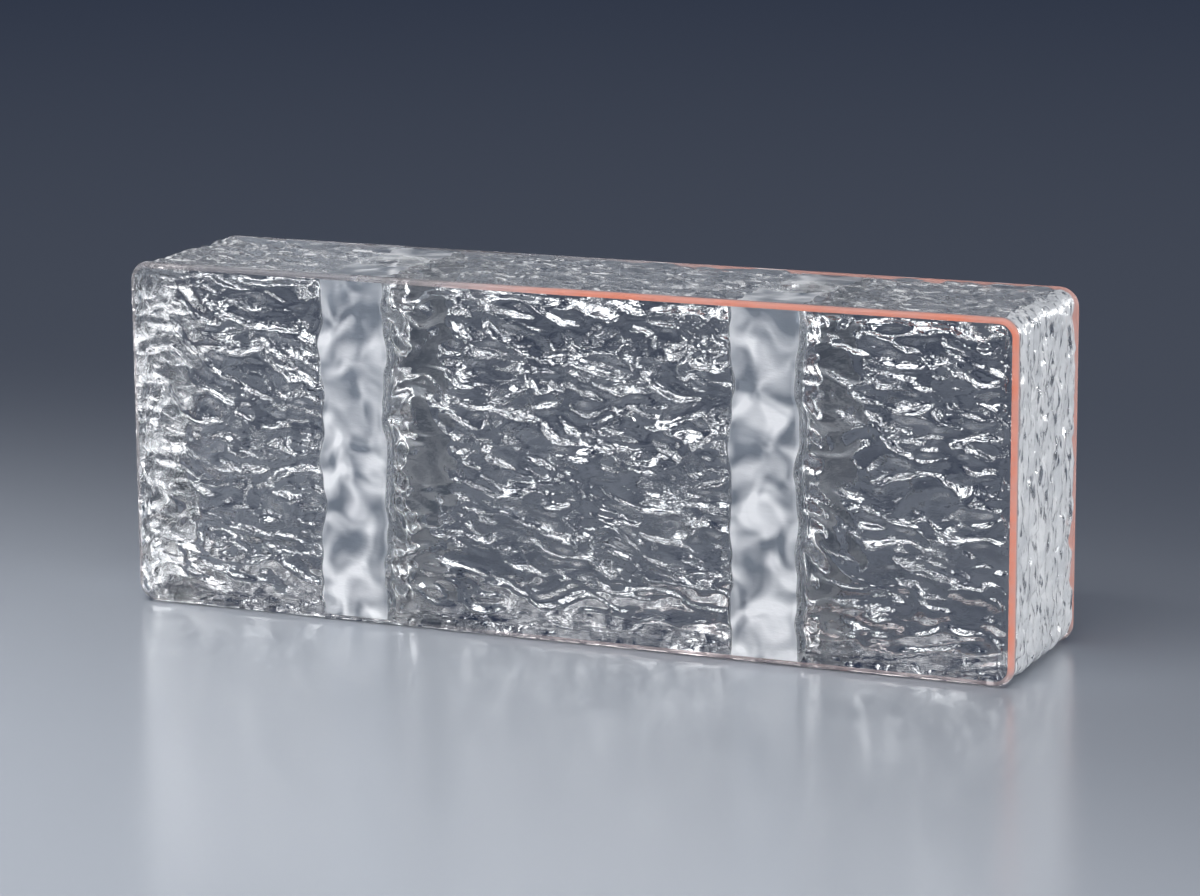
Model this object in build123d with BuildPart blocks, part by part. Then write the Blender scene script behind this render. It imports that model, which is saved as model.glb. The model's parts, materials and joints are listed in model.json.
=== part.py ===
"""Solid glass building block with two upright rod bores, in millimetres.

It stands as it is laid: X runs along its length, Y through its thickness and Z up its height.
The origin is the middle of the bottom face. The clear faces are at y = -thickness/2 and +thickness/2.
"""

import os

from build123d import *

# Driving dimensions of the cast body
length = 240.0
thickness = 50.0
height = 90.0
corner_radius = 5.0
arris_radius = 1.5

# Driving dimensions of the field that is sunk into each clear face, inside a narrow rim
rim_width = 0.9
field_depth = 0.95

# Driving dimensions of the main ridges that stand in the field, up to just under the rim
ridge_width = 6.0
ridge_height = 0.9
ridge_end = 1.5

# Each main ridge of the front face: x and z of its middle, its length and its slope in degrees
ridges = [
    (-102, 80, 20, -38),
    (-84, 77, 26, -10),
    (-96, 59, 22, -24),
    (-100, 40, 18, -30),
    (-76, 38, 21, 25),
    (-92, 20, 24, -18),
    (-37, 70, 20, 42),
    (-28, 58, 18, -30),
    (-37, 34, 20, -35),
    (-22, 18, 24, -12),
    (-9, 76, 24, -27),
    (-12, 45, 20, -20),
    (-5, 31, 24, -20),
    (14, 71, 22, -12),
    (8, 55, 22, -26),
    (22, 39, 22, -15),
    (32, 60, 18, 20),
    (36, 24, 20, -15),
    (28, 10, 30, 8),
    (80, 45, 28, -17),
    (88, 68, 22, -5),
    (106, 60, 18, 20),
    (101, 27, 24, -12),
    (80, 13, 26, -8),
]

# Driving dimensions of the ground bores that take the wall's reinforcing rods
bore_diameter = 17.0
bore_spacing = 112.0
mouth_chamfer = 0.8

# Driving dimensions of the frosted bands that stand in the field and hide the bores
band_margin = 0.3
band_height = 0.55

bore_places = [(side * bore_spacing / 2, 0, height) for side in (-1, 1)]

# A ridge is the crest of a long barrel, whose axis lies this deep under the field
axis_depth = ((ridge_width / 2) ** 2 - ridge_height**2) / (2 * ridge_height)
barrel_radius = axis_depth + ridge_height
field_inset = arris_radius + rim_width
band_width = bore_diameter + 2 * band_margin


def make_barrel(ridge_length):
    """The barrel of one ridge along X, a little longer than the ridge, so that its ends stay under the field."""
    half = ridge_length / 2
    bow_radius = (half**2 + ridge_height**2) / (2 * ridge_height)
    reach = half + ridge_end
    end_radius = barrel_radius - bow_radius + (bow_radius**2 - reach**2) ** 0.5
    with BuildPart() as barrel:
        with BuildSketch(Plane.XY):
            with BuildLine():
                Polyline((-reach, end_radius), (-reach, 0), (reach, 0), (reach, end_radius))
                ThreePointArc((reach, end_radius), (0, barrel_radius), (-reach, end_radius))
            make_face()
        revolve(axis=Axis.X)
    return barrel.part


# What is taken off the front face: the field, less its ridges and bands
with BuildPart() as hollow:
    with BuildSketch(Plane.XZ.offset(thickness / 2)):
        with Locations((0, height / 2)):
            RectangleRounded(length - 2 * field_inset, height - 2 * field_inset, corner_radius - field_inset)
    extrude(amount=-field_depth)
    field_level = -thickness / 2 + field_depth
    for x, z, ridge_length, slope in ridges:
        with Locations(Location((x, field_level + axis_depth, z), (0, -slope, 0))):
            add(make_barrel(ridge_length), mode=Mode.SUBTRACT)
    with Locations(*[(x, field_level, height / 2) for x, y, z in bore_places]):
        Box(band_width, 2 * band_height, height, mode=Mode.SUBTRACT)

with BuildPart() as glass_block:
    # The outline seen from the front, with its four rounded corners
    with BuildSketch(Plane.XZ):
        RectangleRounded(length, height, corner_radius, align=(Align.CENTER, Align.MIN))
    extrude(amount=thickness / 2, both=True)

    # The fire-polished arris round both clear faces
    clear_faces = glass_block.faces().filter_by(Axis.Y)
    fillet(clear_faces.edges(), radius=arris_radius)

    # The bores run through the whole height, on the middle plane of the thickness
    with Locations(*bore_places):
        Hole(bore_diameter / 2)
    bore_mouths = glass_block.edges(Select.LAST).filter_by(GeomType.CIRCLE)
    chamfer(bore_mouths, length=mouth_chamfer)

    # The back face has the front face's relief, as seen from behind
    add(hollow.part, mode=Mode.SUBTRACT)
    add(hollow.part.rotate(Axis.Z, 180), mode=Mode.SUBTRACT)

glass_block.part.label = "glass_block"

os.makedirs("parts", exist_ok=True)
export_step(glass_block.part, "parts/glass_block.step")
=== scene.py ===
"""The looks of the solid glass building block: rippled faces, frosted bands and bores, coral arrises.

The mesh is worked out in millimetres about the block's middle. Blender's own places are in metres.
"""

import itertools
import json
import math
from collections import namedtuple

import bmesh
import bpy
import numpy as np
from mathutils import Matrix, Vector


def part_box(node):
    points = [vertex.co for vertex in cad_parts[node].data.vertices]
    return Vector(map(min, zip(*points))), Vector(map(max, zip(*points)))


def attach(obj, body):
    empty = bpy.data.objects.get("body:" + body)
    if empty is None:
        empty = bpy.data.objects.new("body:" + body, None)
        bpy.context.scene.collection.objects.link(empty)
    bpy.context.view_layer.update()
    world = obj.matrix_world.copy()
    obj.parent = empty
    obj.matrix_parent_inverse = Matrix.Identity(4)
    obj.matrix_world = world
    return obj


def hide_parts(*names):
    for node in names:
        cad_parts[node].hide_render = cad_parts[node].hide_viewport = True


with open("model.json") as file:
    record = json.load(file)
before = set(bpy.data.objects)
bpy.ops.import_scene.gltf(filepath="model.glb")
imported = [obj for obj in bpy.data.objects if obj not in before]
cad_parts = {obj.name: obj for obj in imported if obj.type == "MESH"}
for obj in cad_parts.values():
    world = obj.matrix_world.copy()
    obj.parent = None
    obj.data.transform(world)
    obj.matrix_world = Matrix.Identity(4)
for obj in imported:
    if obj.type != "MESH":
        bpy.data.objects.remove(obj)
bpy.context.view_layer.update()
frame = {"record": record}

MM = 0.001

# The block's main sizes, in millimetres, read from the frame
block_low, block_high = (np.array(corner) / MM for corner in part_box("glass_block"))
LENGTH, THICKNESS, HEIGHT = block_high - block_low
MIDDLE_Z = (block_low[2] + block_high[2]) / 2
BORES = [mount for mount in frame["record"]["mounts"] if mount["kind"] == "bore"]
BORE_RADIUS = BORES[0]["dims"]["r_mm"]
BORE_PLACES = [mount["pos_m"][0] / MM for mount in BORES]

# Small sizes that the frame does not state, in millimetres
CORNER_RADIUS = 5.0
ARRIS_RADIUS = 1.5
MOUTH_CHAMFER = 0.8
BAND_HALF_WIDTH = 8.8

# The flat faces' half sizes and corner radius, inside the arrises
HALF_X, HALF_Y, HALF_Z = (size / 2 - ARRIS_RADIUS for size in (LENGTH, THICKNESS, HEIGHT))
INNER_CORNER = CORNER_RADIUS - ARRIS_RADIUS

# The solid's main ridges, in millimetres: x and z of the middle, length and slope in degrees
RIDGE_WIDTH = 6.0
RIDGE_HEIGHT = 0.9
RIDGES = [
    (-102, 80, 20, -38),
    (-84, 77, 26, -10),
    (-96, 59, 22, -24),
    (-100, 40, 18, -30),
    (-76, 38, 21, 25),
    (-92, 20, 24, -18),
    (-37, 70, 20, 42),
    (-28, 58, 18, -30),
    (-37, 34, 20, -35),
    (-22, 18, 24, -12),
    (-9, 76, 24, -27),
    (-12, 45, 20, -20),
    (-5, 31, 24, -20),
    (14, 71, 22, -12),
    (8, 55, 22, -26),
    (22, 39, 22, -15),
    (32, 60, 18, 20),
    (36, 24, 20, -15),
    (28, 10, 30, 8),
    (80, 45, 28, -17),
    (88, 68, 22, -5),
    (106, 60, 18, 20),
    (101, 27, 24, -12),
    (80, 13, 26, -8),
]

# Mesh spacing, in millimetres, and the steps across the small rounds
STEP_ALONG = 1.3
STEP_AT_BAND_EDGE = 0.45
STEP_UP = 0.58
STEP_ACROSS = 1.25
STEP_AT_RIM = 0.5
CORNER_STEPS = 4
ARRIS_STEPS = 3
MOUTH_RINGS = 5
MOUTH_HALF_WIDTH = 13.0
BORE_RINGS = 4

# The material slots
GLASS, BED, END, CORAL, BORE = range(5)


# Noise

TABLE_SIZE = 256
NOISE_GAIN = 1.7


def shuffled(rng):
    """A random order of the table's places, written twice so that two of them can be added."""
    order = rng.permutation(TABLE_SIZE)
    return np.concatenate([order, order])


def noise(points, seed):
    """Gradient noise, mostly between -1 and 1, at an array of 3-D points."""
    rng = np.random.default_rng(seed)
    order = shuffled(rng)
    directions = rng.normal(size=(TABLE_SIZE, 3))
    directions /= np.linalg.norm(directions, axis=1)[:, None]
    cell = np.floor(points).astype(int)
    local = points - cell
    weight = local**3 * (local * (local * 6 - 15) + 10)
    total = np.zeros(len(points))
    for corner in itertools.product((0, 1), repeat=3):
        x, y, z = ((cell + corner) % TABLE_SIZE).T
        gradient = directions[order[order[order[x] + y] + z]]
        share = np.where(corner, weight, 1 - weight).prod(1)
        total += share * (gradient * (local - corner)).sum(1)
    return total * NOISE_GAIN


# A flow's slope in radians, the length and width of its features, and how far and over what length it wanders
Flow = namedtuple("Flow", "slope along across bend bend_length")


def along_flow(points, flow, seed):
    """Places along and across a flow at 2-D points, counted in its features, and a level for noise."""
    level = np.full(len(points), seed * 0.37)
    wander = [noise(np.c_[points / flow.bend_length, level + 5.2 * k], seed + 100 + k) for k in (0, 1)]
    bent = points + flow.bend * np.stack(wander, 1)
    c, s = math.cos(flow.slope), math.sin(flow.slope)
    u = bent[:, 0] * c + bent[:, 1] * s
    v = bent[:, 1] * c - bent[:, 0] * s
    return u / flow.along, v / flow.across, level


def flow_noise(points, flow, seed):
    """Noise drawn out along a flow, at 2-D points."""
    return noise(np.stack(along_flow(points, flow, seed), 1), seed)


# How unevenly the facets lie, how softly they meet and how much less they tilt along the flow than across it
FACET_JITTER = 0.42
FOLD_SOFTNESS = 0.12
TILT_ALONG = 0.25

# How far the facets are lifted and crowned, as shares of their width
FACET_LIFT = 0.18
FACET_CROWN = 0.3


def facets(points, flow, tilt, seed):
    """Height, in millimetres, of long facets with lifts and tilts of their own that meet in narrow folds."""
    u, v, _ = along_flow(points, flow, seed)
    rng = np.random.default_rng(seed)
    order = shuffled(rng)
    place_u, place_v, lift, tilt_u, tilt_v = rng.uniform(-1, 1, (5, TABLE_SIZE))
    cell_u, cell_v = np.floor(u).astype(int), np.floor(v).astype(int)
    distances, heights = [], []
    for du, dv in itertools.product((-1, 0, 1), repeat=2):
        key = order[order[(cell_u + du) % TABLE_SIZE] + (cell_v + dv) % TABLE_SIZE]
        away_u = u - (cell_u + du + 0.5 + FACET_JITTER * place_u[key])
        away_v = v - (cell_v + dv + 0.5 + FACET_JITTER * place_v[key])
        distance = away_u**2 + away_v**2
        rise = TILT_ALONG * tilt_u[key] * away_u * flow.along + tilt_v[key] * away_v * flow.across
        crown = FACET_LIFT * lift[key] + FACET_CROWN / 2 - FACET_CROWN * distance
        distances.append(distance)
        heights.append(tilt * (rise + flow.across * crown))
    distances = np.array(distances)
    weights = np.exp((distances.min(0) - distances) / FOLD_SOFTNESS)
    return (weights * heights).sum(0) / weights.sum(0)


def smoothstep(t):
    """Rises smoothly from 0 at 0 to 1 at 1."""
    t = np.clip(t, 0, 1)
    return t * t * (3 - 2 * t)


def hump(distance, width):
    """A smooth hump, 1 at distance 0, that dies away over the width."""
    return np.exp(-((distance / width) ** 2))


def band_edge_distance(x):
    """Distance from the nearest band edge, positive outside the bands."""
    return np.min([np.abs(x - place) - BAND_HALF_WIDTH for place in BORE_PLACES], axis=0)


# The relief of the clear faces, in millimetres

FRONT_SEED, BACK_SEED = 3, 57
DEEPEST = 2.0

SWELL = Flow(-0.2, 34.0, 20.0, 5.0, 30.0)
LARGE_FACETS = Flow(-0.28, 9.5, 4.2, 6.0, 15.0)
SMALL_FACETS = Flow(-0.42, 5.5, 2.9, 3.5, 8.0)
DIMPLES = Flow(-0.15, 3.0, 1.8, 1.5, 5.0)
ROUGH_PATCHES = Flow(-0.3, 13.0, 9.0, 4.0, 14.0)
LARGE_TILT = 0.6
SMALL_TILT = 0.9
SMALL_SHARE = 0.95
LEAST_ROUGH, ROUGH_MIDDLE, ROUGH_GAIN = 0.15, 0.55, 1.7
DIMPLE_HEIGHT = 0.1

FIELD_DEPTH = 1.05
SWELL_HEIGHT = 0.1
RIDGE_SHARE = 1.1
RIDGE_WANDER, RIDGE_WANDER_LENGTH = 1.3, 9.0
RIDGE_FOLD_DEPTH, RIDGE_FOLD_PLACE, RIDGE_FOLD_WIDTH = 0.45, 0.15, 0.18
RIPPLE_LOSS, RIPPLE_LOSS_HEIGHT = 0.9, 0.4

FOOT_LOBES = Flow(0.1, 16.0, 7.0, 5.0, 16.0)
FOOT_TOP, FOOT_FADE = 12, 7
FOOT_DEPTH = 1.4
LOBE_HEIGHT = 2.2
LOBE_CREASE = 0.12

BAND_CLOUDS = Flow(1.2, 8.0, 5.0, 3.0, 8.0)
BAND_DEPTH = 0.55
BAND_CLOUD_HEIGHT = 0.22
BAND_STEP_WIDTH, BAND_STEP_START = 0.9, 0.3
GROOVE_DEPTH, GROOVE_PLACE, GROOVE_WIDTH = 0.7, 1.4, 0.7
BEAD_DEPTH, BEAD_WIDTH = 0.1, 0.6

EDGE_FADE_FROM, EDGE_FADE_WIDTH = 0.4, 2.2


def main_ridge_height(points, seed):
    """How high the solid's main ridges stand above the field at 2-D points, here with a wandering line.

    Beside a ridge the height is negative, down to -1.
    """
    level = np.full(len(points), seed + 0.61)
    wander = [noise(np.c_[points / RIDGE_WANDER_LENGTH, level + 4.1 * k], seed + 70 + k) for k in (0, 1)]
    bent = points + RIDGE_WANDER * np.stack(wander, 1)
    axis_depth = ((RIDGE_WIDTH / 2) ** 2 - RIDGE_HEIGHT**2) / (2 * RIDGE_HEIGHT)
    height = np.full(len(points), -1.0)
    for x, z, length, slope in RIDGES:
        c, s = math.cos(math.radians(slope)), math.sin(math.radians(slope))
        dx, dz = bent[:, 0] - x, bent[:, 1] - (z - HEIGHT / 2)
        along, across = dx * c + dz * s, dz * c - dx * s
        crest = RIDGE_HEIGHT * (1 - (2 * along / length) ** 2)
        height = np.maximum(height, crest - across**2 / (2 * axis_depth))
    return height


def ripple_height(points, dimples, seed):
    """The ripples between the main ridges: large facets, and in rough patches small ones with dimples."""
    large = facets(points, LARGE_FACETS, LARGE_TILT, seed + 10)
    small = facets(points, SMALL_FACETS, SMALL_TILT, seed + 20)
    patches = smoothstep(ROUGH_MIDDLE + ROUGH_GAIN * flow_noise(points, ROUGH_PATCHES, seed + 60))
    rough = LEAST_ROUGH + (1 - LEAST_ROUGH) * patches
    return large + rough * (SMALL_SHARE * small + DIMPLE_HEIGHT * dimples)


def field_depth(points, dimples, seed):
    """Depth of the rippled field: the ripples fade out on the main ridges, which a fold runs round."""
    swell = flow_noise(points, SWELL, seed)
    profile = main_ridge_height(points, seed)
    ridge = np.maximum(profile, 0)
    fold = hump(profile + RIDGE_FOLD_PLACE, RIDGE_FOLD_WIDTH)
    left = 1 - RIPPLE_LOSS * smoothstep(ridge / RIPPLE_LOSS_HEIGHT)
    ripples = left * ripple_height(points, dimples, seed)
    return FIELD_DEPTH + SWELL_HEIGHT * swell - RIDGE_SHARE * ridge - ripples + RIDGE_FOLD_DEPTH * fold


def foot_depth(points, dimples, seed):
    """Depth of the larger, smoother lobes along the foot, which meet in narrow creases."""
    lobes = flow_noise(points, FOOT_LOBES, seed + 40)
    puffed = np.sqrt(lobes * lobes + LOBE_CREASE**2) - LOBE_CREASE
    return FOOT_DEPTH - LOBE_HEIGHT * puffed - DIMPLE_HEIGHT * dimples


def clear_face_depth(points, seed):
    """How far a clear face lies inside its plane at 2-D points (x, height above the middle)."""
    dimples = flow_noise(points, DIMPLES, seed + 30)
    foot = smoothstep((FOOT_TOP - (points[:, 1] + HEIGHT / 2)) / FOOT_FADE)
    rippled = field_depth(points, dimples, seed) * (1 - foot) + foot_depth(points, dimples, seed) * foot

    # The calm bands in front of the bores, with a thin bead and a groove along each edge
    calm = BAND_DEPTH + BAND_CLOUD_HEIGHT * flow_noise(points, BAND_CLOUDS, seed + 50)
    edge = band_edge_distance(points[:, 0])
    outside = smoothstep(edge / BAND_STEP_WIDTH + BAND_STEP_START)
    groove = hump(edge - GROOVE_PLACE, GROOVE_WIDTH)
    depth = calm * (1 - outside) + (rippled + GROOVE_DEPTH * groove) * outside
    bead = hump(edge, BEAD_WIDTH)
    return np.clip(depth * (1 - bead) + BEAD_DEPTH * bead, 0, DEEPEST)


def edge_distance(x, z):
    """How far points of a clear face lie inside its outline."""
    into_x = np.maximum(np.abs(x) - (HALF_X - INNER_CORNER), 0)
    into_z = np.maximum(np.abs(z) - (HALF_Z - INNER_CORNER), 0)
    in_corner = (into_x > 0) & (into_z > 0)
    from_sides = np.minimum(HALF_X - np.abs(x), HALF_Z - np.abs(z))
    return np.where(in_corner, INNER_CORNER - np.hypot(into_x, into_z), from_sides)


# Each band edge wanders slowly and quickly up a clear face: how far, and over what height
SLOW_WAVE, SLOW_WAVE_LENGTH = 2.0, 15.0
QUICK_WAVE, QUICK_WAVE_LENGTH = 0.9, 6.0
WAVE_FADE = 6
WAVE_REACH = 6.5


def band_waves(z, seed):
    """How the four band edges wander up a clear face: the x of each, and its shift at each height."""
    ends = smoothstep((HEIGHT / 2 - np.abs(z)) / WAVE_FADE)
    waves = []
    for number, place in enumerate(BORE_PLACES):
        for side in (-1, 1):
            key = np.full(len(z), seed + 3.3 * number + 1.7 * side + 0.43)
            slow = noise(np.c_[z / SLOW_WAVE_LENGTH, key, key], seed)
            quick = noise(np.c_[z / QUICK_WAVE_LENGTH, key, key + 9], seed)
            waves.append((place + side * BAND_HALF_WIDTH, ends * (SLOW_WAVE * slow + QUICK_WAVE * quick)))
    return waves


# The relief of the top, bottom and ends, in millimetres

SIDE_SEED = 91
STREAKS = Flow(0.0, 7.0, 3.3, 1.5, 8.0)
STREAK_TILT = 0.6
PITS = Flow(0.25, 3.4, 2.4, 1.0, 5.0)
PIT_HEIGHT = 0.15
SIDE_DEPTH, SHALLOWEST_SIDE, DEEPEST_SIDE = 0.7, 0.05, 1.5
RIM_WIDTH = 1.2
CORAL_WIDTH = 0.7

# The ends have noise of their own, this far from the bed faces' noise
END_OFFSET = 200

CALM_STRETCH, CALM_SHARE, CALM_DEPTH = 0.4, 0.25, 0.35
BED_STEP_WIDTH, BED_STEP_START = 1.5, 0.5
LAND_WIDTH, LAND_FADE = 0.3, 2.5
BED_WAVE, BED_WAVE_LENGTH, BED_WAVE_FADE = 2.2, 11.0, 4
BED_WAVE_SEED = 71


def inside_rim(y, width):
    """Rises from 0 at the arrises to 1 at the width inside them."""
    return smoothstep((HALF_Y - np.abs(y)) / width)


def side_depth(points, seed):
    """How far the top, bottom and ends lie inside their planes, at 2-D points (along the outline, y)."""
    streaks = facets(points, STREAKS, STREAK_TILT, seed)
    pits = flow_noise(points, PITS, seed + 5)
    depth = np.clip(SIDE_DEPTH - streaks - PIT_HEIGHT * pits, SHALLOWEST_SIDE, DEEPEST_SIDE)
    return depth * inside_rim(points[:, 1], RIM_WIDTH)


def bed_wave(points):
    """How the edges of the bands wander sideways across the top and the bottom, at 2-D points (x, y)."""
    level = np.full(len(points), 0.27)
    wander = noise(np.c_[points / BED_WAVE_LENGTH, level], BED_WAVE_SEED)
    return BED_WAVE * wander * inside_rim(points[:, 1], BED_WAVE_FADE)


def bed_depth(points, seed):
    """The same for the top or the bottom at 2-D points (x, y): calm in the bands, level round the mouths."""
    edge = band_edge_distance(points[:, 0] + bed_wave(points))
    outside = smoothstep(edge / BED_STEP_WIDTH + BED_STEP_START)
    calm = side_depth(points * CALM_STRETCH, seed + 9) * CALM_SHARE + CALM_DEPTH
    calm *= inside_rim(points[:, 1], RIM_WIDTH)
    from_middle = np.min([np.hypot(points[:, 0] - place, points[:, 1]) for place in BORE_PLACES], axis=0)
    land = smoothstep((from_middle - BORE_RADIUS - MOUTH_CHAMFER - LAND_WIDTH) / LAND_FADE)
    return (side_depth(points, seed) * outside + calm * (1 - outside)) * land


# The grid that the mesh follows

FINE_SAMPLES = 6001

# Within how many millimetres of a band edge or an arris the steps are fine, and over how many they widen
FINE_AT_BAND_EDGE, BAND_EDGE_EASE = 1.0, 2.5
FINE_AT_RIM, RIM_EASE = 1.4, 0.8


def spaced(half, step_at):
    """Positions from -half to half, about the local step apart."""
    fine = np.linspace(-half, half, FINE_SAMPLES)
    middles = (fine[1:] + fine[:-1]) / 2
    crowding = np.concatenate([[0], np.cumsum(np.diff(fine) / step_at(middles))])
    return np.interp(np.linspace(0, crowding[-1], round(crowding[-1]) + 1), crowding, fine)


def grid_lines(half, step_at):
    """Positions from -half to half, with equal cells in the corner zones and the local step between."""
    straight = half - INNER_CORNER
    zone = np.linspace(0, INNER_CORNER, CORNER_STEPS + 1)[1:]
    return np.concatenate([-(straight + zone[::-1]), spaced(straight, step_at), straight + zone])


def step_along(x):
    """The step along the length: fine at the band edges, where the relief changes suddenly."""
    beyond = FINE_AT_BAND_EDGE + BAND_EDGE_EASE - np.abs(band_edge_distance(x))
    near = smoothstep(beyond / BAND_EDGE_EASE)
    return STEP_ALONG + (STEP_AT_BAND_EDGE - STEP_ALONG) * near


def step_up(z):
    """The step up the height, the same everywhere."""
    return np.full(len(z), STEP_UP)


def step_across(y):
    """The step from face to face: fine beside the arrises, where the relief drops away from the rim."""
    near = smoothstep((FINE_AT_RIM + RIM_EASE - (HALF_Y - np.abs(y))) / RIM_EASE)
    return STEP_ACROSS + (STEP_AT_RIM - STEP_ACROSS) * near


def round_corner(x, z):
    """Bends a grid's square corners round, and gives the direction in which its border faces."""
    u = np.maximum(np.abs(x) - (HALF_X - INNER_CORNER), 0) / INNER_CORNER
    v = np.maximum(np.abs(z) - (HALF_Z - INNER_CORNER), 0) / INNER_CORNER
    round_u = u * np.sqrt(1 - v**2 / 2)
    round_v = v * np.sqrt(1 - u**2 / 2)
    placed_x = np.sign(x) * (np.minimum(np.abs(x), HALF_X - INNER_CORNER) + INNER_CORNER * round_u)
    placed_z = np.sign(z) * (np.minimum(np.abs(z), HALF_Z - INNER_CORNER) + INNER_CORNER * round_v)
    return placed_x, placed_z, np.sign(x) * round_u, np.sign(z) * round_v


def walk_round(i_low, i_high, j_low, j_high):
    """The grid places along the four sides of a rectangle, once round."""
    there = [(i, j_low) for i in range(i_low, i_high)] + [(i_high, j) for j in range(j_low, j_high)]
    back = [(i, j_high) for i in range(i_high, i_low, -1)] + [(i_low, j) for j in range(j_high, j_low, -1)]
    return there + back


def nearest(values, wanted):
    """The number of the line that lies nearest to the wanted place."""
    return int(np.abs(values - wanted).argmin())


class Grid:
    """The lines that the mesh follows: xs, zs and rows across, and the outline once round a clear face."""

    def __init__(self):
        self.xs = grid_lines(HALF_X, step_along)
        self.zs = grid_lines(HALF_Z, step_up)
        self.rows = spaced(HALF_Y, step_across)
        self.top = len(self.zs) - 1
        self.border = walk_round(0, len(self.xs) - 1, 0, self.top)
        self.border_at = {place: k for k, place in enumerate(self.border)}
        self.squares = [self.square_round(place) for place in BORE_PLACES]
        every_x, every_z = (line.ravel() for line in np.meshgrid(self.xs, self.zs, indexing="ij"))
        self.face_x, self.face_z, _, _ = round_corner(every_x, every_z)
        i, j = np.array(self.border).T
        self.on_border = i * len(self.zs) + j
        outline_x, outline_z, out_x, out_z = round_corner(self.xs[i], self.zs[j])
        self.outline = np.c_[outline_x, outline_z]
        out = np.c_[out_x, out_z]
        self.out = out / np.linalg.norm(out, axis=1)[:, None]
        self.on_bed = np.abs(self.out[:, 1]) > 0.99

    def square_round(self, place):
        """The lines about a bore's mouth, lowest and highest along X and across Y, where rings take over."""
        i_low, i_high = (nearest(self.xs, place + side * MOUTH_HALF_WIDTH) for side in (-1, 1))
        j_low, j_high = (nearest(self.rows, side * MOUTH_HALF_WIDTH) for side in (-1, 1))
        return i_low, i_high, j_low, j_high

    def in_squares(self, j):
        """Which faces of the sides' row j lie in a square about a mouth, at the top or the bottom."""
        inside = []
        for (i, level), (next_i, next_level) in zip(self.border, self.border[1:] + self.border[:1]):
            on_bed = level == next_level and level in (0, self.top)
            inside.append(on_bed and any(i_low <= min(i, next_i) < i_high and j_low <= j < j_high
                                         for i_low, i_high, j_low, j_high in self.squares))
        return inside


# The glass body

class Body:
    """Collects the block's vertices and faces, with each vertex's outward normal and depth of relief."""

    def __init__(self):
        self.points, self.normals, self.depths, self.band_x = [], [], [], []
        self.faces, self.slots = [], []
        self.sharp_rings = []
        self.count = 0

    def add(self, points, normals, depths=0.0, band_x=None):
        """Adds vertices and returns their numbers. Where the bands wander, band_x is x in straight ones."""
        first = self.count
        self.band_x.append(points[:, 0] if band_x is None else band_x)
        self.points.append(points)
        self.normals.append(np.broadcast_to(normals, points.shape))
        self.depths.append(np.broadcast_to(depths, len(points)))
        self.count += len(points)
        return np.arange(first, self.count)

    def quads(self, one, other, slot, closed=True, skip=None):
        """Joins two rows of equally many vertices. The slot is a number, or a list with one for each face."""
        for k in range(len(one) if closed else len(one) - 1):
            if skip is not None and skip[k]:
                continue
            n = (k + 1) % len(one)
            self.faces.append((one[k], one[n], other[n], other[k]))
            self.slots.append(slot[k] if isinstance(slot, list) else slot)


def at_level(flat, y):
    """3-D places from 2-D ones (x, z), all at one y."""
    return np.c_[flat[:, 0], np.full(len(flat), y), flat[:, 1]]


def add_clear_face(body, grid, side, seed):
    """Adds a clear face, and returns the ring of vertices round its outline."""
    x, z = grid.face_x, grid.face_z
    fade = smoothstep((edge_distance(x, z) - EDGE_FADE_FROM) / EDGE_FADE_WIDTH)
    depth = clear_face_depth(np.c_[-side * x, z], seed) * fade
    wavy_x = x.copy()
    for edge, wave in band_waves(z, seed):
        wavy_x += wave * smoothstep(1 - np.abs(x - edge) / WAVE_REACH)
    face = body.add(at_level(np.c_[wavy_x, z], side * THICKNESS / 2), (0, side, 0), depth, x)
    columns = face.reshape(len(grid.xs), len(grid.zs))
    for one, other in zip(columns, columns[1:]):
        body.quads(one, other, GLASS, closed=False)
    return face[grid.on_border]


def add_arris(body, grid, side, ring):
    """Adds the round arris that starts at a clear face's ring, and returns its last ring."""
    for turn in np.linspace(0, math.pi / 2, ARRIS_STEPS + 1)[1:]:
        flat = grid.outline + grid.out * ARRIS_RADIUS * math.sin(turn)
        y = side * THICKNESS / 2 - side * ARRIS_RADIUS * (1 - math.cos(turn))
        normals = at_level(grid.out * math.sin(turn), side * math.cos(turn))
        new = body.add(at_level(flat, y), normals)
        body.quads(ring, new, CORAL)
        ring = new
    return ring


def add_sides(body, grid, front_rim, back_rim):
    """Adds the top, bottom and ends between the two rims, and returns their vertices row by row."""
    rim = grid.outline + grid.out * ARRIS_RADIUS
    along = np.where(grid.on_bed, rim[:, 0], END_OFFSET + rim[:, 1])
    lines = [front_rim]
    for y in grid.rows[1:-1]:
        level = np.full(len(rim), y)
        places = np.c_[along, level]
        depth = np.where(grid.on_bed, bed_depth(places, SIDE_SEED), side_depth(places, SIDE_SEED))
        band_x = rim[:, 0] + bed_wave(np.c_[rim[:, 0], level])
        lines.append(body.add(at_level(rim, y), at_level(grid.out, 0), depth, band_x))
    lines.append(back_rim)

    bed_or_end = np.where(grid.on_bed, BED, END).tolist()
    for j in range(len(lines) - 1):
        from_rim = grid.rows[-1] - max(abs(grid.rows[j]), abs(grid.rows[j + 1]))
        slots = CORAL if from_rim < CORAL_WIDTH else bed_or_end
        body.quads(lines[j], lines[j + 1], slots, skip=grid.in_squares(j))
    return lines


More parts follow.
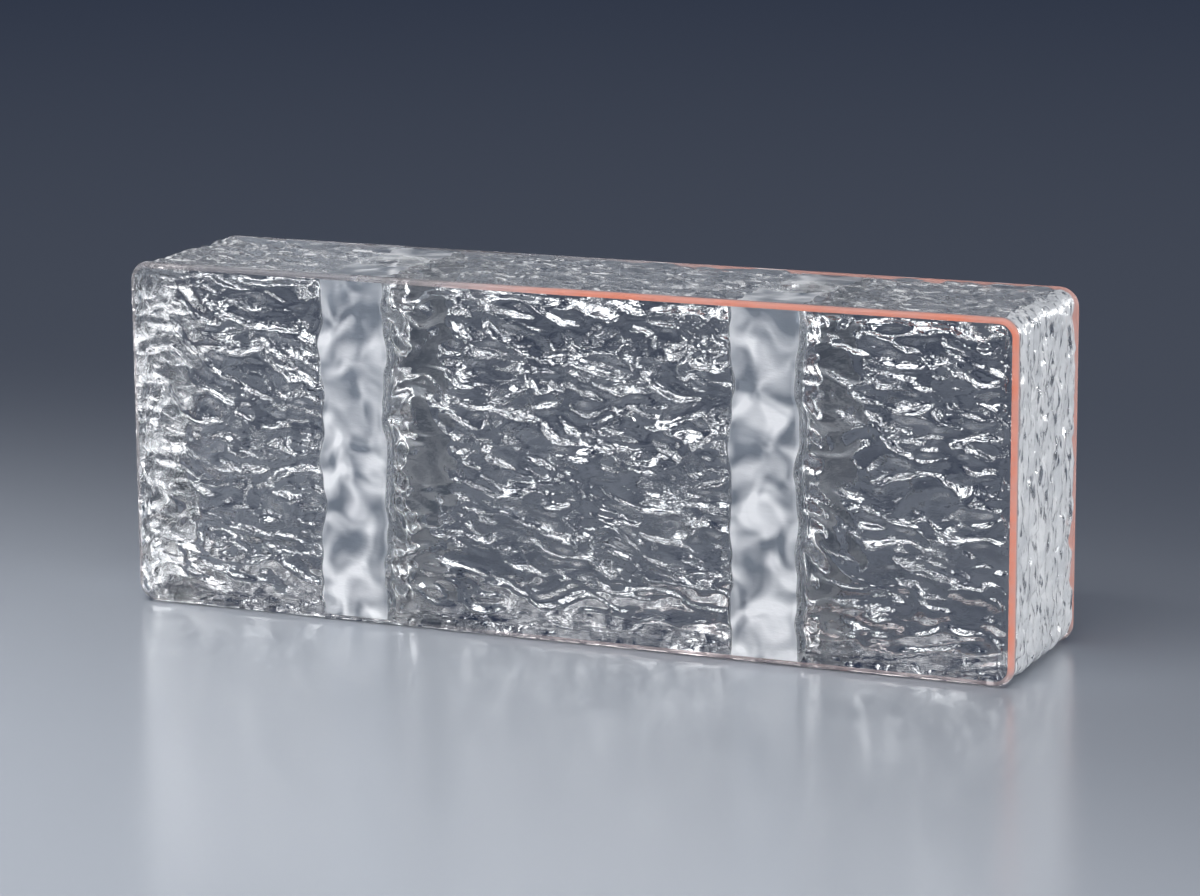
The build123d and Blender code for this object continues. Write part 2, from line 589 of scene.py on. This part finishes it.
def add_bore(body, grid, lines, place, square):
    """Adds a bore: at each end the rings about its mouth and the chamfer, and the wall between them."""
    walk = walk_round(*square)
    corners = np.array([(grid.xs[i] - place, grid.rows[j]) for i, j in walk])
    circle = corners / np.linalg.norm(corners, axis=1)[:, None]
    mouth = circle * (BORE_RADIUS + MOUTH_CHAMFER)
    inward = np.c_[-circle, np.zeros(len(circle))]

    def add_ring(flat, z, normals, depths=0.0):
        places = flat + (place, 0)
        band_x = places[:, 0] + bed_wave(places)
        return body.add(np.c_[places, np.full(len(flat), z)], normals, depths, band_x)

    throats = {}
    for up, level in ((1, grid.top), (-1, 0)):
        z = up * HEIGHT / 2
        ring = np.array([lines[j][grid.border_at[(i, level)]] for i, j in walk])
        for share in np.linspace(0, 1, MOUTH_RINGS + 1)[1:]:
            flat = corners * (1 - share) + mouth * share
            new = add_ring(flat, z, (0, 0, up), bed_depth(flat + (place, 0), SIDE_SEED))
            body.quads(ring, new, BED)
            ring = new
        throats[up] = add_ring(circle * BORE_RADIUS, z - up * MOUTH_CHAMFER, inward)
        body.quads(ring, throats[up], BORE)
        body.sharp_rings += [ring, throats[up]]

    ring = throats[1]
    wall_half = HEIGHT / 2 - MOUTH_CHAMFER
    for z in np.linspace(wall_half, -wall_half, BORE_RINGS + 1)[1:-1]:
        new = add_ring(circle * BORE_RADIUS, z, inward)
        body.quads(ring, new, BORE)
        ring = new
    body.quads(ring, throats[-1], BORE)


def build_body():
    body = Body()
    grid = Grid()
    rims = []
    for side, seed in ((-1, FRONT_SEED), (1, BACK_SEED)):
        ring = add_clear_face(body, grid, side, seed)
        rims.append(add_arris(body, grid, side, ring))
    lines = add_sides(body, grid, *rims)
    for place, square in zip(BORE_PLACES, grid.squares):
        add_bore(body, grid, lines, place, square)
    return body


# Where the coral tint of the arrises starts, in front, behind and above the foot, and over what length and
# height it grows to its full strength, in millimetres
CORAL_START_FRONT, CORAL_START_BACK = -48.0, -22.0
CORAL_RAMP = 60
CORAL_FOOT, CORAL_FOOT_RAMP = 1.0, 5

# How strong the coral is left of its start and at the foot, and what share it loses beyond the clear face
CORAL_LEAST = 0.16
CORAL_AT_FOOT = 0.35
FRINGE_LOSS_FRONT, FRINGE_LOSS_BACK = 0.65, 0.25
FRINGE_FROM, FRINGE_RAMP = 0.4 * ARRIS_RADIUS, 0.5 * ARRIS_RADIUS
FROST_EDGE_WIDTH = 0.6


def coral_strength(points):
    """How strong the coral tint is: full towards the right end, faint at the left and along the foot."""
    x, y, z = points.T
    in_front = y < 0
    starts = np.where(in_front, CORAL_START_FRONT, CORAL_START_BACK)
    along = CORAL_LEAST + (1 - CORAL_LEAST) * smoothstep((x - starts) / CORAL_RAMP)
    above_foot = smoothstep((z + HEIGHT / 2 - CORAL_FOOT) / CORAL_FOOT_RAMP)
    up = CORAL_AT_FOOT + (1 - CORAL_AT_FOOT) * above_foot
    fringe = smoothstep((THICKNESS / 2 - np.abs(y) - FRINGE_FROM) / FRINGE_RAMP)
    return along * up * (1 - np.where(in_front, FRINGE_LOSS_FRONT, FRINGE_LOSS_BACK) * fringe)


def frost_strength(band_x):
    """How frosted the surface is: the bands wrap round both clear faces, the top and the bottom."""
    return 1 - smoothstep(band_edge_distance(band_x) / FROST_EDGE_WIDTH + 0.5)


def shade_smooth(mesh, sharp_rings):
    """Turns the faces outward and shades them smooth, with sharp edges along the given rings."""
    sharp = {frozenset((int(ring[k - 1]), int(ring[k]))) for ring in sharp_rings for k in range(len(ring))}
    work = bmesh.new()
    work.from_mesh(mesh)
    bmesh.ops.recalc_face_normals(work, faces=work.faces)
    for edge in work.edges:
        edge.smooth = frozenset(v.index for v in edge.verts) not in sharp
    for face in work.faces:
        face.smooth = True
    work.to_mesh(mesh)
    work.free()


def make_block():
    body = build_body()
    points = np.concatenate(body.points)
    depths = np.concatenate(body.depths)[:, None]
    placed = points - np.concatenate(body.normals) * depths + (0, 0, MIDDLE_Z)
    mesh = bpy.data.meshes.new("rippled_block")
    mesh.from_pydata((placed * MM).tolist(), [], [[int(v) for v in face] for face in body.faces])
    mesh.polygons.foreach_set("material_index", body.slots)
    frost = frost_strength(np.concatenate(body.band_x))
    for name, values in (("frost", frost), ("coral", coral_strength(points))):
        mesh.attributes.new(name, "FLOAT", "POINT").data.foreach_set("value", values)
    shade_smooth(mesh, body.sharp_rings)
    block = bpy.data.objects.new("rippled_block", mesh)
    bpy.context.scene.collection.objects.link(block)
    return block


# Materials

GLASS_IOR = 1.52
POLISHED = 0.03
CLEAR_COLOR = (0.97, 0.985, 1.0, 1)
CORAL_COLOR = (0.84, 0.27, 0.17, 1)
THIN_MILK = (0.26, 0.30, 0.36, 1)
THICK_MILK = (0.97, 0.98, 1.0, 1)
FLOOR_COLOR = (0.58, 0.62, 0.68, 1)

# A mix node has sockets of every kind, several of one name: these are the numbers of those for colours
MIX_COLOR_A, MIX_COLOR_B, MIX_COLOR_RESULT = 6, 7, 2


class Look:
    """A new material with a principled shader, and short ways to add nodes to it."""

    def __init__(self, name):
        self.material = bpy.data.materials.new(name)
        self.material.use_nodes = True
        self.nodes = self.material.node_tree.nodes
        self.links = self.material.node_tree.links
        self.shader = self.nodes["Principled BSDF"]

    def feed(self, socket, value):
        """Gives a socket a plain value or another node's output."""
        if isinstance(value, bpy.types.NodeSocket):
            self.links.new(value, socket)
        else:
            socket.default_value = value

    def set(self, **inputs):
        """Feeds the shader's inputs, named with underscores for spaces."""
        for name, value in inputs.items():
            self.feed(self.shader.inputs[name.replace("_", " ")], value)

    def attribute(self, name):
        node = self.nodes.new("ShaderNodeAttribute")
        node.attribute_name = name
        return node.outputs["Fac"]

    def from_inside(self):
        """1 where the surface is seen from inside the glass, otherwise 0."""
        return self.nodes.new("ShaderNodeNewGeometry").outputs["Backfacing"]

    def place(self):
        return self.nodes.new("ShaderNodeTexCoord").outputs["Object"]

    def height(self):
        """Height above the floor, in metres."""
        node = self.nodes.new("ShaderNodeSeparateXYZ")
        self.feed(node.inputs["Vector"], self.place())
        return node.outputs["Z"]

    def noise(self, scale, detail, stretch=(1, 1, 1), distortion=0.0):
        """A noise texture in object space. The scale is in features per metre."""
        mapping = self.nodes.new("ShaderNodeMapping")
        self.feed(mapping.inputs["Vector"], self.place())
        self.feed(mapping.inputs["Scale"], stretch)
        texture = self.nodes.new("ShaderNodeTexNoise")
        self.feed(texture.inputs["Vector"], mapping.outputs["Vector"])
        self.feed(texture.inputs["Scale"], scale)
        self.feed(texture.inputs["Detail"], detail)
        self.feed(texture.inputs["Distortion"], distortion)
        return texture.outputs["Fac"]

    def ramp(self, value, low, high, at_low, at_high):
        """Turns a value between low and high into one between at_low and at_high."""
        node = self.nodes.new("ShaderNodeMapRange")
        self.feed(node.inputs["Value"], value)
        for name, number in (("From Min", low), ("From Max", high), ("To Min", at_low), ("To Max", at_high)):
            self.feed(node.inputs[name], number)
        return node.outputs["Result"]

    def combine(self, operation, one, other):
        """The sum or product of two values, as the operation says."""
        node = self.nodes.new("ShaderNodeMath")
        node.operation = operation
        self.feed(node.inputs[0], one)
        self.feed(node.inputs[1], other)
        return node.outputs["Value"]

    def mix(self, factor, one, other):
        node = self.nodes.new("ShaderNodeMix")
        self.feed(node.inputs["Factor"], factor)
        self.feed(node.inputs["A"], one)
        self.feed(node.inputs["B"], other)
        return node.outputs["Result"]

    def mix_colors(self, factor, one, other):
        node = self.nodes.new("ShaderNodeMix")
        node.data_type = "RGBA"
        self.feed(node.inputs["Factor"], factor)
        self.feed(node.inputs[MIX_COLOR_A], one)
        self.feed(node.inputs[MIX_COLOR_B], other)
        return node.outputs[MIX_COLOR_RESULT]

    def bump(self, height, strength, distance):
        node = self.nodes.new("ShaderNodeBump")
        self.feed(node.inputs["Strength"], strength)
        self.feed(node.inputs["Distance"], distance)
        self.feed(node.inputs["Height"], height)
        self.set(Normal=node.outputs["Normal"])


def cast_glass(name, grain_scale, stretch, haze, bump_depth):
    """Clear glass that is frosted in the bands.

    Its grain is drawn out, and whitened by the haze at most. Seen from inside, the glass has no haze.
    """
    look = Look(name)
    frost = look.attribute("frost")
    cloud = look.noise(120, 1, distortion=0.8)
    grain = look.noise(grain_scale, 3, stretch)
    polish = look.ramp(grain, 0.3, 0.7, 0.0, POLISHED + 0.1 * haze)
    blur = look.ramp(cloud, 0.3, 0.7, 0.35, 0.55)
    hazy = look.ramp(grain, 0.34, 0.46, 1.0, 1.0 - haze)
    clear = look.mix(look.from_inside(), hazy, 1.0)
    milk = look.ramp(cloud, 0.35, 0.65, 0.6, 0.1)

    # The bands' milk colour is a little paler towards the bottom and darker towards the top, and a little of
    # it is in the haze
    paler_below = look.ramp(look.height(), 0.0, HEIGHT * MM, 0.05, -0.05)
    milk_tone = look.ramp(look.combine("ADD", cloud, paler_below), 0.34, 0.66, 0.0, 1.0)
    milky = look.mix_colors(milk_tone, THIN_MILK, THICK_MILK)
    share = look.ramp(frost, 0.0, 1.0, 0.4 * haze, 1.0)
    look.set(
        Base_Color=look.mix_colors(share, CLEAR_COLOR, milky),
        Transmission_Weight=look.mix(frost, clear, milk),
        Roughness=look.mix(frost, polish, blur),
        IOR=GLASS_IOR,
    )
    look.bump(grain, 0.5, bump_depth)
    return look.material


def coral_arris():
    look = Look("coral_arris")
    streaks = look.noise(260, 2, (0.3, 1, 1))
    uneven = look.ramp(streaks, 0.3, 0.7, 0.85, 1.0)
    tint = look.combine("MULTIPLY", look.attribute("coral"), uneven)
    look.set(
        Base_Color=look.mix_colors(tint, CLEAR_COLOR, CORAL_COLOR),
        Transmission_Weight=look.mix(tint, 1.0, 0.1),
        Roughness=look.mix(tint, POLISHED, 0.22),
        IOR=GLASS_IOR,
    )
    return look.material


def ground_bore():
    """Ground glass with the grinder's rings. Seen from inside, it is clear and throws the light back."""
    look = Look("ground_bore")
    rings = look.noise(300, 2, (0.4, 0.4, 3))
    inside = look.from_inside()
    look.set(
        Base_Color=CLEAR_COLOR,
        Transmission_Weight=look.mix(inside, look.ramp(rings, 0.35, 0.65, 0.9, 0.45), 1.0),
        Roughness=look.mix(inside, look.ramp(rings, 0.3, 0.7, 0.1, 0.35), POLISHED),
        IOR=GLASS_IOR,
    )
    look.bump(rings, 0.3, 0.0003)
    return look.material


def polished_floor():
    look = Look("floor")
    look.set(Base_Color=FLOOR_COLOR, Roughness=0.2, Specular_IOR_Level=0.4)
    return look.material


block = make_block()
for material in (
    cast_glass("rippled_glass", 900, (0.5, 1, 1), 0.0, 0.0003),
    cast_glass("streaked_bed", 450, (0.25, 1, 1), 0.1, 0.0014),
    cast_glass("flecked_end", 750, (1, 1, 0.3), 0.72, 0.0018),
    coral_arris(),
    ground_bore(),
):
    block.data.materials.append(material)
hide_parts("glass_block")
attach(block, "root")


# The stage, in metres

FLOOR_SIZE = 16
FLOOR_GAP = 0.0001
BLOCK_CENTRE = Vector((0, 0, HEIGHT / 2 * MM))

HORIZON_COLOR = (0.03, 0.045, 0.08, 1)
SKY_COLOR = (0.015, 0.024, 0.05, 1)
HORIZON_UP_TO, SKY_FROM = 0.0, 0.02

SIDE_LIGHT_DISTANCE = 1.5
SIDE_LIGHT_SIZE = 0.8
SIDE_LIGHT_SPREAD = 60
CARD_DISTANCE = 2.4

# The photograph's viewpoint, solved from the block's corners: a long lens from the right and above
SENSOR_WIDTH, LENS = 36.0, 120.6
YAW, PITCH, ROLL = (math.radians(angle) for angle in (-23.65, 11.65, -0.37))
CAMERA_DISTANCE, SHIFT_RIGHT, SHIFT_UP = 1.022, 0.00141, 0.00011

# Some lamps light the block alone, so that they leave no glare on the glossy floor
block_only = bpy.data.collections.new("block_only")
block_only.objects.link(block)


def add_floor():
    bpy.ops.mesh.primitive_plane_add(size=FLOOR_SIZE, location=(0, 0, -FLOOR_GAP))
    floor = bpy.context.object
    floor.name = "floor"
    floor.data.materials.append(polished_floor())


def add_world():
    """A dim slate sky, a little paler below the horizon."""
    world = bpy.data.worlds.new("studio")
    bpy.context.scene.world = world
    world.use_nodes = True
    nodes, links = world.node_tree.nodes, world.node_tree.links
    place = nodes.new("ShaderNodeTexCoord")
    split = nodes.new("ShaderNodeSeparateXYZ")
    ramp = nodes.new("ShaderNodeValToRGB")
    links.new(place.outputs["Generated"], split.inputs[0])
    links.new(split.outputs["Z"], ramp.inputs["Fac"])
    links.new(ramp.outputs["Color"], nodes["Background"].inputs["Color"])
    stops = ramp.color_ramp.elements
    stops[0].position, stops[0].color = HORIZON_UP_TO, HORIZON_COLOR
    stops[1].position, stops[1].color = SKY_FROM, SKY_COLOR


def towards(azimuth, elevation):
    """A direction from the block. Azimuth 0 is behind it and 90 to its right, in degrees."""
    turn, rise = math.radians(azimuth), math.radians(elevation)
    return Vector((math.sin(turn) * math.cos(rise), math.cos(turn) * math.cos(rise), math.sin(rise)))


def add_softbox(name, azimuth, elevation, distance, width, height, radiance,
                spread=179.0, ahead=0.0, aside=0.0):
    """A soft lamp aimed at the block, or at a place ahead of it and to its side.

    Its face has the given brightness, seen along its axis, and shines within the spread, in degrees.
    """
    data = bpy.data.lights.new(name, "AREA")
    data.shape = "RECTANGLE"
    data.size, data.size_y = width, height
    data.spread = math.radians(spread)
    half = data.spread / 2
    narrowing = math.tan(half) / (math.tan(half) - half)
    data.energy = radiance * math.pi * width * height / narrowing
    lamp = bpy.data.objects.new(name, data)
    away = towards(azimuth, elevation)
    lamp.location = BLOCK_CENTRE + Vector((aside, -ahead, 0)) + distance * away
    lamp.rotation_euler = away.to_track_quat("Z", "Y").to_euler()
    bpy.context.scene.collection.objects.link(lamp)
    return lamp


def add_side_light(name, azimuth, elevation, radiance):
    """A soft lamp that lights the block and leaves the floor alone."""
    distance, size, spread = SIDE_LIGHT_DISTANCE, SIDE_LIGHT_SIZE, SIDE_LIGHT_SPREAD
    lamp = add_softbox(name, azimuth, elevation, distance, size, size, radiance, spread)
    lamp.light_linking.receiver_collection = block_only
    lamp.visible_glossy = False
    lamp.visible_transmission = False


def add_glint_card(name, azimuth, elevation, width, height, radiance, mirrored=False):
    """A bright card far from the block, which is seen only through its glass, or only mirrored in it."""
    card = add_softbox(name, azimuth, elevation, CARD_DISTANCE, width, height, radiance)
    card.light_linking.receiver_collection = block_only
    card.visible_diffuse = False
    card.visible_glossy = mirrored
    card.visible_transmission = not mirrored


def add_lamps():
    # Azimuth, elevation, distance, width, height and radiance
    add_softbox("overhead", 180, 89, 0.45, 0.9, 0.25, 6.0, spread=95, ahead=0.3)
    add_softbox("left_pool", 180, 89, 0.4, 0.3, 0.2, 7.0, spread=75, ahead=0.14, aside=-0.3)

    # Azimuth, elevation and radiance
    add_side_light("key", -150, 15, 7.0)
    add_side_light("right", 100, 12, 13.0)
    add_side_light("left", -96, 12, 6.5)
    add_side_light("back", 20, 15, 4.0)

    # Azimuth, elevation, distance, width, height and radiance
    add_softbox("fill", 180, 80, 2.5, 2.0, 2.0, 0.85)

    # Azimuth, elevation, width, height and radiance
    for number, azimuth in enumerate((-62, -46, -32, -20, -8, 10, 30)):
        add_glint_card(f"card_{number}", azimuth, 9, 0.2, 0.5, 4.0)
    add_glint_card("end_card", 50, 0, 1.1, 1.6, 8.0)
    add_glint_card("top_card", -24, 12, 1.6, 0.25, 1.5, mirrored=True)
    add_glint_card("end_glints", 24, 6, 0.9, 0.35, 16.0, mirrored=True)


def add_camera():
    data = bpy.data.cameras.new("camera")
    data.sensor_width = SENSOR_WIDTH
    data.lens = LENS
    data.clip_start, data.clip_end = 0.01, 50
    camera = bpy.data.objects.new("camera", data)
    bpy.context.scene.collection.objects.link(camera)
    bpy.context.scene.camera = camera
    forward = Vector((math.sin(YAW) * math.cos(PITCH), math.cos(YAW) * math.cos(PITCH), -math.sin(PITCH)))
    level_right = Vector((math.cos(YAW), -math.sin(YAW), 0))
    level_up = level_right.cross(forward)
    right = math.cos(ROLL) * level_right + math.sin(ROLL) * level_up
    up = math.cos(ROLL) * level_up - math.sin(ROLL) * level_right
    camera.location = BLOCK_CENTRE - forward * CAMERA_DISTANCE + right * SHIFT_RIGHT + up * SHIFT_UP
    camera.rotation_euler = Matrix((right, up, -forward)).transposed().to_euler()


add_floor()
add_world()
add_lamps()
add_camera()
bpy.context.scene.view_settings.view_transform = "Standard"
